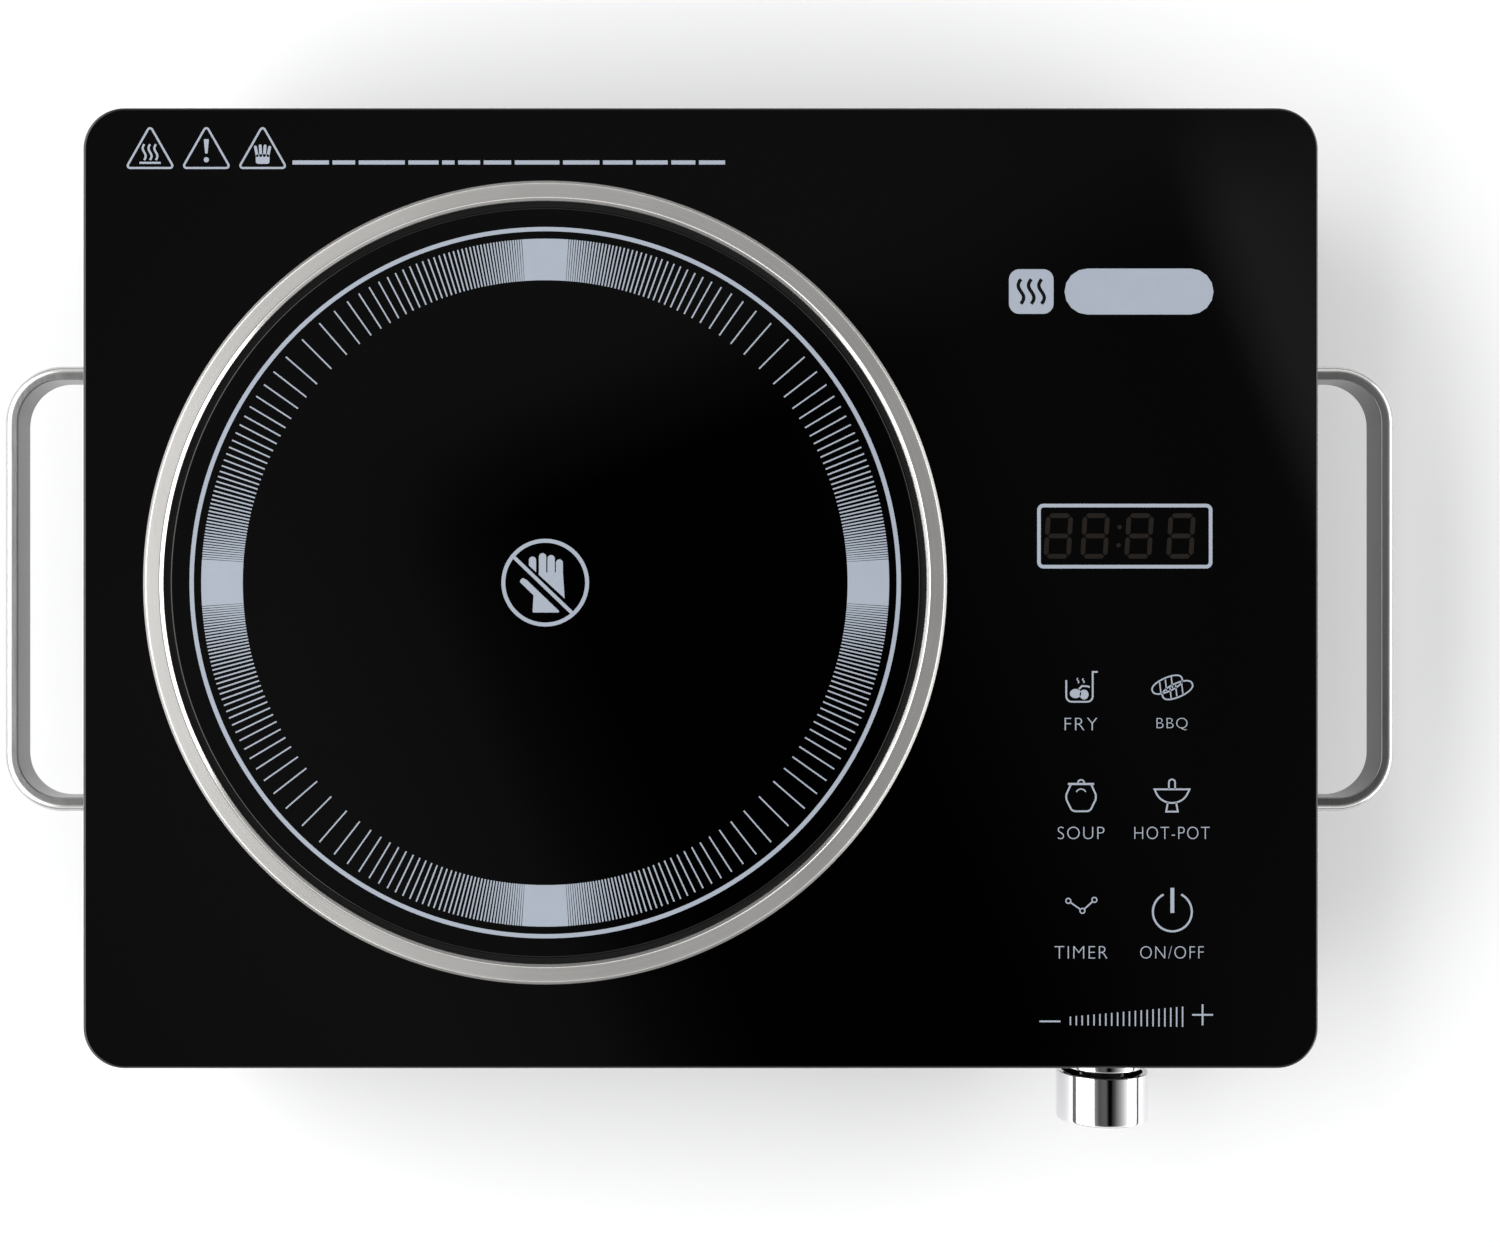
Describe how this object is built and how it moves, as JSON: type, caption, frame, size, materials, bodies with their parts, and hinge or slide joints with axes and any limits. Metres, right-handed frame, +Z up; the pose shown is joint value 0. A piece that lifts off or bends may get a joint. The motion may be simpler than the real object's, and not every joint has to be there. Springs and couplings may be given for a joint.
{
  "type": "hot plate burner",
  "caption": "Table-top radiant hot plate: black glass top with a round ceramic disc in a steel ring, carrying handles, touch keys, display and front knob.",
  "frame": {"origin": "middle of the overall footprint, on the surface that the feet stand on", "axes": "+X to the user's right along the glass's long side, +Y to the back, away from the knob, +Z up"},
  "size_m": [0.412, 0.302, 0.0672],
  "materials": {
    "panel_glass": "polished black",
    "disc_glass": "polished black",
    "glass_print": "fired enamel print",
    "ring_steel": "brushed round the ring",
    "handle_steel": "satin",
    "knob_chrome": "polished",
    "housing_plastic": "fine texture",
    "foot_rubber": "matt",
    "seal_silicone": "matt",
    "screw_steel": "zinc plated",
    "plate_foil": "satin, blank",
    "heater_steel": "plain sheet",
    "insulation": "pressed fibre",
    "ribbon_alloy": "oxidised",
    "limiter_tube": "unglazed",
    "switch_ceramic": "unglazed",
    "fan_plastic": "moulded",
    "bearing_brass": "plain",
    "stator_iron": "wound core",
    "board_laminate": "solder mask",
    "heatsink_alloy": "extruded",
    "component_black": "moulded",
    "capacitor_case": "moulded",
    "transformer_core": "laminated",
    "fuse_glass": "clear",
    "terminal_plastic": "moulded",
    "display_face": "smoked",
    "pad_foam": "conductive foam",
    "cable_flat": "grey ribbon",
    "lead_insulation": "glass-braid silicone",
    "gland_plastic": "moulded"
  },
  "bodies": {
    "root": {"glass_panel": "panel_glass", "hob_disc": "disc_glass", "trim_ring": "ring_steel", "disc_seal": "seal_silicone", "panel_bond": "seal_silicone", "upper_housing": "housing_plastic", "base_plate": "housing_plastic", "feet": "foot_rubber", "foot_screws": "screw_steel", "case_screws": "screw_steel", "rating_plate": "plate_foil", "cord_gland": "gland_plastic", "handle_left": "handle_steel", "handle_right": "handle_steel", "handle_rosettes": "housing_plastic", "handle_washers": "screw_steel", "handle_screws": "screw_steel", "knob_bezel": "knob_chrome", "encoder_body": "component_black", "encoder_bushing": "screw_steel", "encoder_washer": "screw_steel", "encoder_nut": "screw_steel", "heater_dish": "heater_steel", "insulation_base": "insulation", "insulation_wall": "insulation", "heating_ribbons": "ribbon_alloy", "limiter_rod": "limiter_tube", "limiter_head": "switch_ceramic", "heater_terminals": "switch_ceramic", "heater_springs": "heater_steel", "heater_tray": "heater_steel", "earth_screw": "bearing_brass", "fan_frame": "fan_plastic", "fan_bearing": "bearing_brass", "fan_stator": "stator_iron", "fan_screws": "screw_steel", "power_board": "board_laminate", "heatsink": "heatsink_alloy", "triac": "component_black", "relay": "component_black", "transformer": "transformer_core", "filter_capacitor": "capacitor_case", "fuse": "fuse_glass", "terminal_block": "terminal_plastic", "buzzer": "component_black", "short_screws": "screw_steel", "control_board": "board_laminate", "controller_chip": "component_black", "display_module": "display_face", "touch_pads": "pad_foam", "ribbon_cable": "cable_flat", "heater_leads": "lead_insulation", "signal_leads": "lead_insulation"},
    "encoder_rotor": {"encoder_rotor": "component_black"},
    "knob": {"knob_shell": "knob_chrome", "knob_hub": "component_black", "knob_clip": "screw_steel", "encoder_shaft": "heatsink_alloy"},
    "fan_rotor": {"fan_rotor": "fan_plastic", "fan_shaft": "screw_steel"}
  },
  "joints": [
    {"name": "knob_turn", "type": "hinge", "parent": "root", "child": "encoder_rotor", "pos_m": [0.124, -0.118, 0.035], "axis": [0, 1, 0], "continuous": true},
    {"name": "knob_push", "type": "slide", "parent": "encoder_rotor", "child": "knob", "axis": [0, 1, 0], "range_m": [0, 0.0005], "stiffness_N_per_m": 1500, "springref_m": -0.0005},
    {"name": "fan_spin", "type": "hinge", "parent": "root", "child": "fan_rotor", "pos_m": [0.118, 0.089, 0.02], "axis": [0, 0, 1], "continuous": true}
  ]
}
